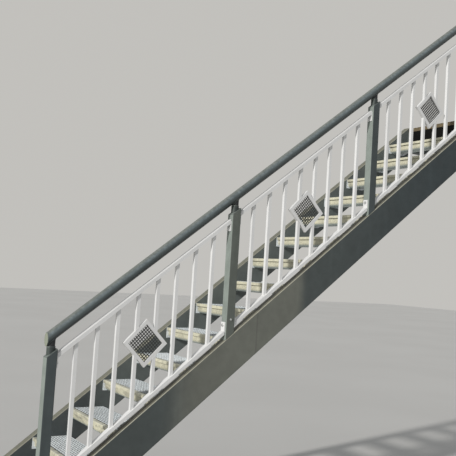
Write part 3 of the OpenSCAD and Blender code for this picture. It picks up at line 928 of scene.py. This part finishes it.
def add_beam_beads(shape, side):
    """Beads of one side beam: at the column's head, up the mitre with the stringer, and round the
    ends of the head beam and the end beam."""
    inside = side * (FAR_Y - BOX_WIDTH / 2)
    outside = side * (FAR_Y + BOX_WIDTH / 2 - BOX_CORNER)
    front = COLUMN_X - COLUMN / 2
    add_bead(shape, [(front, outside, BEAM_LOW), (front, inside + side * BOX_CORNER, BEAM_LOW)], BEAD)
    add_bead(shape, [(front + BOX_CORNER, inside, BEAM_LOW), (LANDING_END - BOX_CORNER, inside, BEAM_LOW)],
             CORNER_BEAD)
    for face in (-1, 1):
        y = side * FAR_Y + face * BOX_WIDTH / 2
        add_bead(shape, [(underside_x(BEAM_LOW), y, BEAM_LOW + BOX_CORNER),
                         (LANDING_X, y, BEAM_TOP - BOX_CORNER)], SEAM_BEAD)
    head = (LANDING_X + BOX_WIDTH / 2, LANDING_Z - GRATING_HEIGHT - HEAD_BEAM_DEPTH / 2, HEAD_BEAM_DEPTH)
    end = (LANDING_END - BOX_WIDTH / 2, BEAM_TOP - BOX_DEPTH / 2, BOX_DEPTH)
    for x, z, depth in (head, end):
        outline = rounded_square(x, z, 0, BOX_WIDTH / 2, depth / 2)
        add_bead(shape, [(a, inside, b) for a, b, _ in outline], BEAD, closed=True)


def make_welds(material):
    """The weld beads of stubs, handrail, posts, stringers, columns and beams."""
    shape = bmesh.new()
    add_stub_beads(shape)
    add_rail_beads(shape)
    for x in POSTS:
        for edge in (x, x + POST):
            add_post_bead(shape, edge, NEAR_Y, nosing_line(edge) + TOP_REVEAL)
    for side in (-1, 1):
        for edge in (END_POST_X - POST / 2, END_POST_X + POST / 2):
            add_post_bead(shape, edge, side * FAR_Y, BEAM_TOP)
        add_foot_beads(shape, side)
        add_beam_beads(shape, side)
    new_piece("welds", shape, material, sharp=SHARP_BEAD)


def add_panel_beads(shape, to_world, length, rise, count):
    """Beads of one panel with a count of bars: round both ends of each bar, and where the two middle
    bars meet the diamond. to_world takes a place along, across and up."""
    gap = (length - count * BAR) / (count + 1)
    for number in range(count):
        middle = gap + number * (gap + BAR) + BAR / 2
        for level in (PANEL_LOW + PANEL_RAIL, PANEL_TOP - PANEL_RAIL):
            path = [to_world(middle + i * BAR / 2, j * BAR / 2, level + rise * (middle + i * BAR / 2))
                    for i, j in SQUARE]
            add_bead(shape, path, PANEL_BEAD, closed=True, sides=5)
    reach = DIAMOND / math.sqrt(2) - BAR / 2
    step = (gap + BAR) / 2
    centre = (PANEL_LOW + PANEL_TOP) / 2 + rise * length / 2
    for i in (-1, 1):
        middle = length / 2 + i * step
        for j in (-1, 1):
            z = centre + j * (reach - step + BAR / 2)
            for face in (-1, 1):
                path = [to_world(middle + k * BAR / 2, face * BAR / 2, z - k * i * j * BAR / 2)
                        for k in (-1, 1)]
                add_bead(shape, path, CROSSING_BEAD, sides=5)


def make_panel_welds(material):
    """The weld beads of the three panels on the flight and the two round the landing."""
    shape = bmesh.new()
    for start, end in zip(POSTS, POSTS[1:]):
        x, z = start + POST, nosing_line(start + POST)
        add_panel_beads(shape, lambda a, b, c: (x + a, NEAR_Y + b, z + c), end - x, SLOPE, BARS)
    x = POSTS[3] + POST
    length = END_POST_X - POST / 2 - x
    add_panel_beads(shape, lambda a, b, c: (x + a, NEAR_Y + b, LANDING_Z + c), length, 0, BARS)
    y = NEAR_Y + POST / 2
    add_panel_beads(shape, lambda a, b, c: (END_POST_X - b, y + a, LANDING_Z + c), -2 * y, 0, END_BARS)
    new_piece("panel_welds", shape, material, sharp=SHARP_BEAD)


def make_stub_sleeves(material):
    """The painted sleeve round each stub's foot, down into the post's top."""
    shape = bmesh.new()
    inside, outside, sunk = SLEEVE_RADIUS - 0.001, SLEEVE_RADIUS + 0.0003, 0.002
    for x, y, slope in stub_places():
        base = nosing_line(x) + POST_HEIGHT
        low = base - slope * SLEEVE_RADIUS - sunk
        top = base + SLEEVE_HEIGHT
        profile = [(inside, low), (outside, low), (outside, top), (inside, top), (inside, low)]
        add_turned(shape, Matrix.Translation((x, y, 0)), profile, sides=48)
    bmesh.ops.remove_doubles(shape, verts=shape.verts, dist=SAME_POINT)
    new_piece("stub_sleeves", shape, material)


def make_sleeve_rings(material):
    """The thin worn ring at the upper end of each stub's sleeve."""
    shape = bmesh.new()
    inside, outside = STUB_RADIUS - 0.001, SLEEVE_RADIUS + 0.001
    low, shoulder, high = -0.001, 0.002, 0.003
    profile = [(inside, low), (outside, low), (outside, shoulder), (SLEEVE_RADIUS, high), (inside, high),
               (inside, low)]
    for x, y, _ in stub_places():
        top = nosing_line(x) + POST_HEIGHT + SLEEVE_HEIGHT
        add_turned(shape, Matrix.Translation((x, y, top)), profile, sides=36)
    bmesh.ops.remove_doubles(shape, verts=shape.verts, dist=SAME_POINT)
    new_piece("sleeve_rings", shape, material)


def dress_frame(by_slot, by_node):
    """Gives each frame piece that stays its own material, or else that of its slot in the record."""
    slots = {row["node"]: row["material_slot"] for row in frame["record"]["subparts"]}
    for name, node in frame["nodes"].items():
        node.data.materials.clear()
        node.data.materials.append(by_node.get(name, by_slot[slots[name]]))


def make_stage():
    """A wide pale floor of stone with faint clouds."""
    mesh = bpy.data.meshes.new("floor")
    mesh.from_pydata([(i * FLOOR_HALF, j * FLOOR_HALF, 0) for i, j in SQUARE], [], [(0, 1, 2, 3)])
    floor = bpy.data.objects.new("floor", mesh)
    bpy.context.scene.collection.objects.link(floor)
    stone = Material("floor")
    colour = stone.mix(stone.clouds(0.35, 2, 0.0, 1.0), (0.68, 0.67, 0.645), (0.71, 0.70, 0.675))
    stone.put(stone.shader.inputs["Base Color"], colour)
    stone.shader.inputs["Roughness"].default_value = FLOOR_ROUGHNESS
    floor.data.materials.append(stone.data)


def make_sun():
    """The one lamp, a softened sun."""
    sun = bpy.data.lights.new("sun", "SUN")
    sun.energy = SUN_STRENGTH
    sun.angle = SUN_SPREAD
    sun.color = SUN_COLOUR
    lamp = bpy.data.objects.new("sun", sun)
    lamp.rotation_mode = "QUATERNION"
    lamp.rotation_quaternion = SUN_WAY.to_track_quat("-Z", "Y")
    bpy.context.scene.collection.objects.link(lamp)


def make_world():
    """A soft sky that lights the stair, and a plain backdrop that the camera and reflections see."""
    world = bpy.data.worlds.new("studio")
    bpy.context.scene.world = world
    world.use_nodes = True
    nodes = world.node_tree.nodes
    links = world.node_tree.links
    sky = nodes["Background"]
    sky.inputs["Color"].default_value = SKY_COLOUR
    sky.inputs["Strength"].default_value = SKY_STRENGTH
    backdrop = nodes.new("ShaderNodeBackground")
    backdrop.inputs["Color"].default_value = BACKDROP_COLOUR
    backdrop.inputs["Strength"].default_value = BACKDROP_STRENGTH
    path = nodes.new("ShaderNodeLightPath")
    seen = path.outputs["Is Camera Ray"]
    for ray in ("Is Glossy Ray", "Is Transmission Ray"):
        either = nodes.new("ShaderNodeMath")
        either.operation = "MAXIMUM"
        links.new(seen, either.inputs[0])
        links.new(path.outputs[ray], either.inputs[1])
        seen = either.outputs["Value"]
    mix = nodes.new("ShaderNodeMixShader")
    links.new(seen, mix.inputs[0])
    links.new(sky.outputs["Background"], mix.inputs[1])
    links.new(backdrop.outputs["Background"], mix.inputs[2])
    links.new(mix.outputs["Shader"], nodes["World Output"].inputs["Surface"])


make_camera()
make_stage()
make_sun()
make_world()
bpy.context.scene.view_settings.view_transform = "Standard"

white = white_paint()
posts = post_paint()
handrail = handrail_paint()
bolts = bolt_zinc()
gratings = grating_zinc()
plates = plate_zinc()
ends = end_zinc()

paint_of = {"near_stringer": stringer_paint(), "far_stringer": far_stringer_paint(),
            "handrail_stubs": stub_shade_paint(), "landing_head_beam": shaded_beam_paint()}
paint_of.update({name: posts for name in frame["nodes"] if "post" in name})
paint_of.update({name: handrail for name in frame["nodes"] if name.endswith(("handrail", "caps"))})
dress_frame({"anthracite_paint": beam_paint(), "galvanised_steel": gratings, "white_paint": white,
             "sheet_grey": sheet_paint()}, paint_of)

for number in range(1, TREADS + 1):
    make_tread(number, gratings, plates, ends)
for node in ("landing_grating_front", "landing_grating_back"):
    make_landing_grating(node, gratings)
make_tread_bolts(bolts)
make_lug_screws(bolts)
make_anchors(bolts)
make_welds(posts)
make_panel_welds(white)
make_stub_sleeves(sleeve_shade_paint())
make_sleeve_rings(posts)
